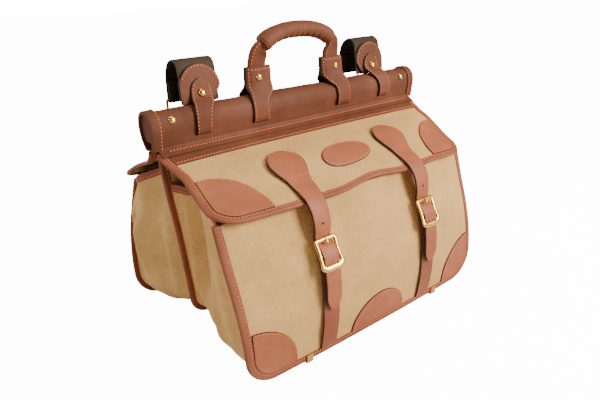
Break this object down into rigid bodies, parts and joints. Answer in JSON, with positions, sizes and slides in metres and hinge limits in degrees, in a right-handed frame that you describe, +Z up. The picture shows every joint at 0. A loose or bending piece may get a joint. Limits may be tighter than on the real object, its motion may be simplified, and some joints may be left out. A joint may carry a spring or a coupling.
{
  "type": "canvas and leather briefcase bag",
  "caption": "Soft khaki canvas and tan leather double-flap bag with buckled straps, a rolled top handle on a padded rail and a dark shoulder strap behind",
  "frame": {"origin": "On the floor, at the middle of the bottom face of the bounding box", "axes": "X runs along the long side of the bag, +X to the right seen from the front. -Y is the front with the oval badge and the buckles, +Y the rear with the shoulder strap. +Z is up"},
  "size_m": [0.457, 0.4059, 0.4023],
  "materials": {
    "canvas": "heavy khaki cotton canvas, matt, slightly rumpled",
    "leather": "tan leather, semi-matt, with dark cut edges and orange thread",
    "dark_webbing": "dark olive-brown woven webbing, matt",
    "brass": "polished brass"
  },
  "bodies": {
    "root": {"middle_panel": "canvas", "middle_binding": "leather", "front_panel": "canvas", "front_binding": "leather", "front_gusset": "canvas", "front_gusset_edge_left": "leather", "front_gusset_edge_right": "leather", "front_flap": "canvas", "front_flap_band": "leather", "front_flap_binding": "leather", "rear_panel": "canvas", "rear_binding": "leather", "rear_gusset": "canvas", "rear_gusset_edge_left": "leather", "rear_gusset_edge_right": "leather", "rear_flap": "canvas", "rear_flap_band": "leather", "rear_flap_binding": "leather", "rail_cover": "leather", "rail_bar": "leather", "rail_end_left": "leather", "rail_end_right": "leather", "flap_patch_left": "leather", "flap_patch_right": "leather", "oval_badge": "leather", "panel_patch_left": "leather", "panel_patch_right": "leather", "base_patch": "leather", "front_clip_left": "brass", "front_clip_right": "brass", "rear_clip_left": "brass", "rear_clip_right": "brass", "upper_strap_left": "leather", "upper_strap_right": "leather", "lower_strap_left": "leather", "lower_strap_right": "leather", "buckle_left": "brass", "buckle_right": "brass", "handle_grip": "leather", "handle_leg_left": "leather", "handle_leg_right": "leather", "sleeve_front_left": "leather", "sleeve_front_right": "leather", "sleeve_rear_left": "leather", "sleeve_rear_right": "leather", "tab_left": "leather", "tab_right": "leather", "paddle_left": "leather", "paddle_right": "leather", "strap_end_left": "dark_webbing", "strap_end_right": "dark_webbing", "strap_ring_left": "brass", "strap_ring_right": "brass", "rail_stud_left": "brass", "rail_stud_right": "brass", "handle_stud_left": "brass", "handle_stud_right": "brass", "tab_stud_left": "brass", "tab_stud_right": "brass", "shoulder_strap": "dark_webbing"}
  },
  "joints": []
}
